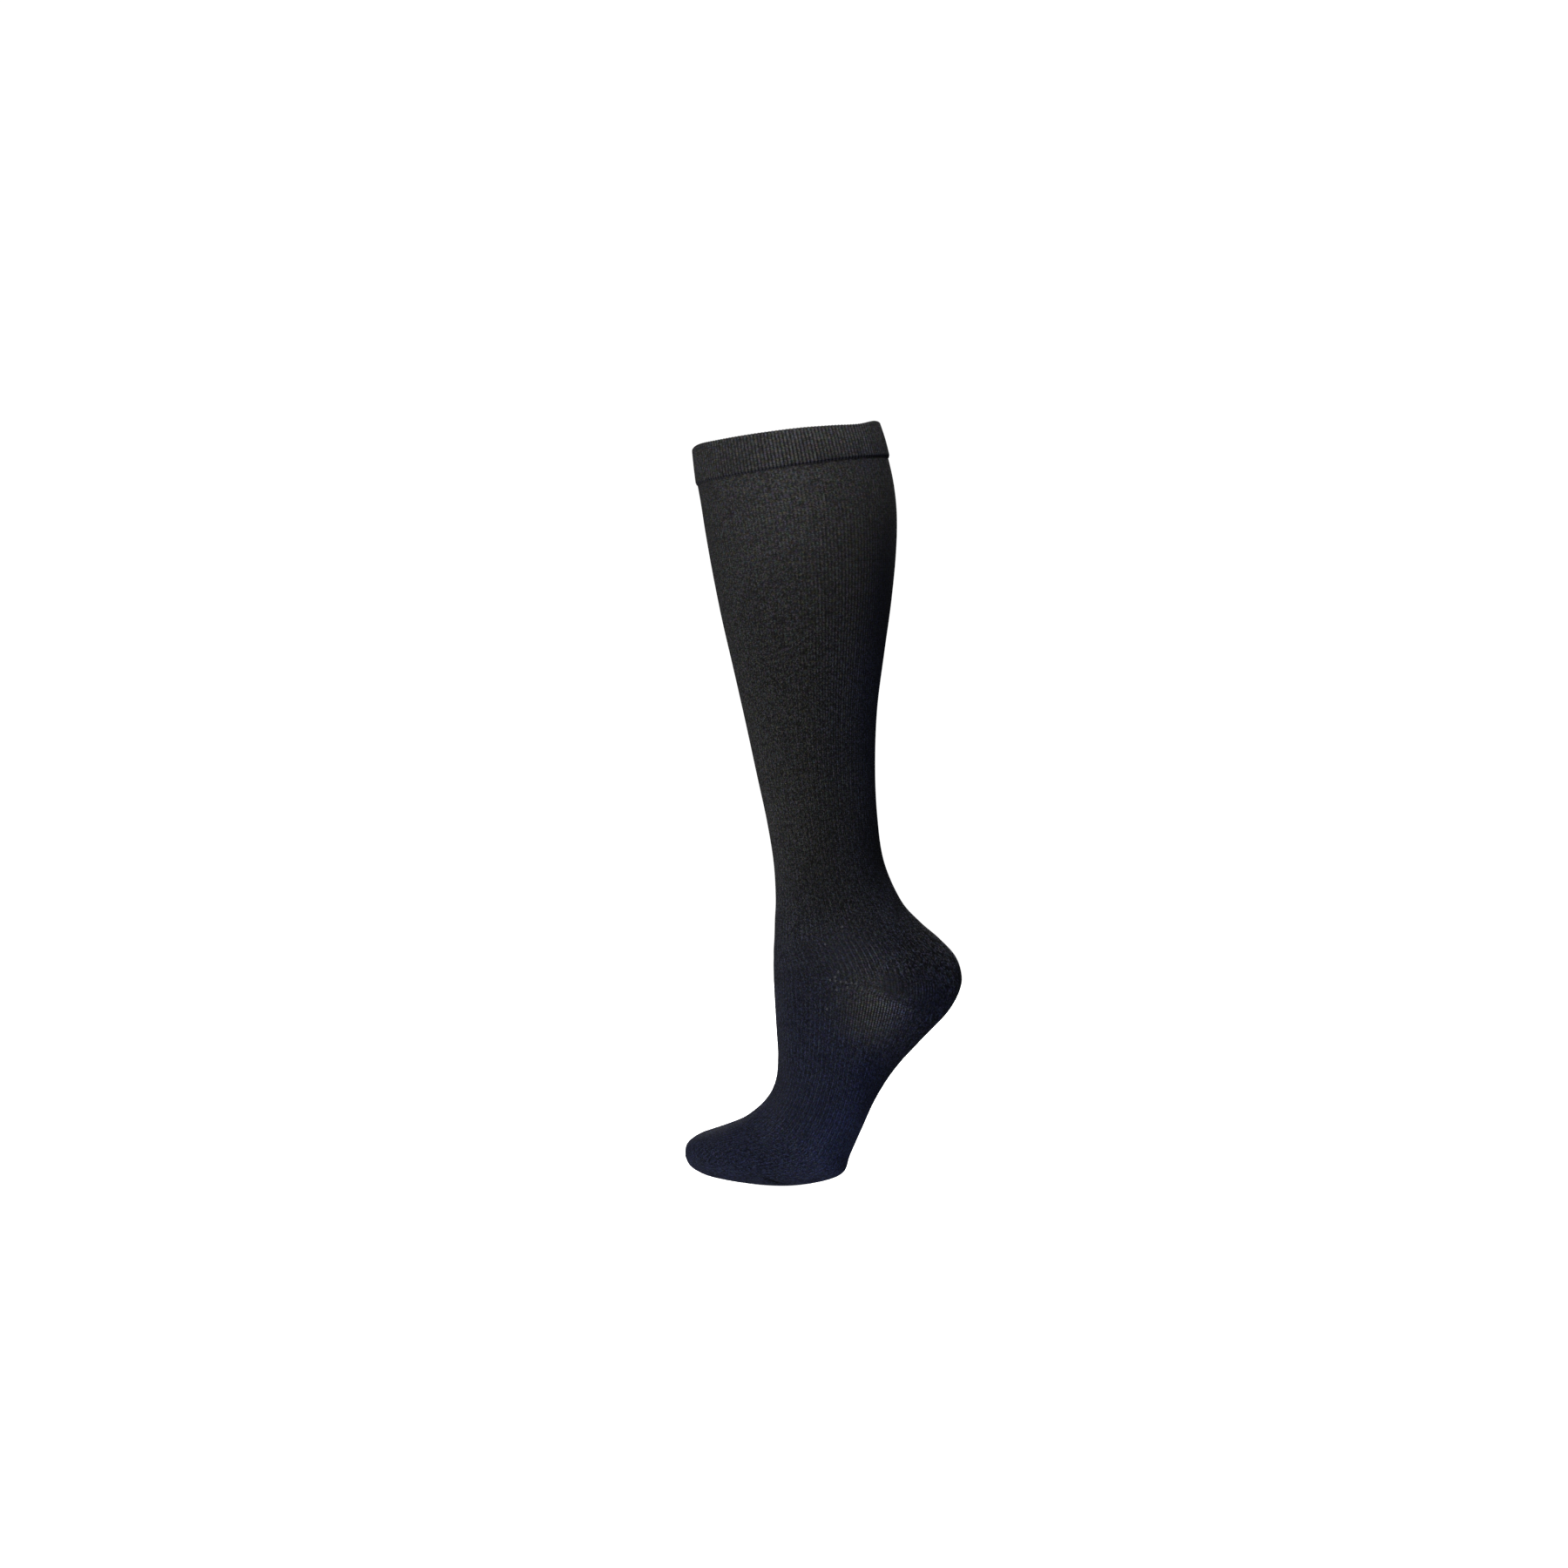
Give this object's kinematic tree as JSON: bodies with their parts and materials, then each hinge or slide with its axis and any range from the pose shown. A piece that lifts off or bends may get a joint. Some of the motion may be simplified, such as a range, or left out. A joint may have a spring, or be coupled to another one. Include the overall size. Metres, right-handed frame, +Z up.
{
  "type": "compression stocking",
  "caption": "Knee-high compression stocking, hollow and filled out in its worn shape on tiptoe, with a turned ribbed band, a heel pocket and a closed toe.",
  "frame": {"origin": "middle of the top opening, where the wearer's calf holds the stocking up just below the knee", "axes": "+Z up along the leg, -X towards the toes and +X towards the heel, +Y to the side, with the stocking symmetric about Y = 0"},
  "size_m": [0.1714, 0.111, 0.4723],
  "materials": {
    "black_knit": "matte fine knit of nylon and elastane, charcoal black",
    "navy_black_knit": "matte fine knit of nylon and elastane, black with a navy cast"
  },
  "bodies": {
    "root": {"top_band": "black_knit", "leg": "black_knit", "heel_pocket": "navy_black_knit", "foot": "navy_black_knit", "toe_cap": "navy_black_knit"}
  },
  "joints": []
}
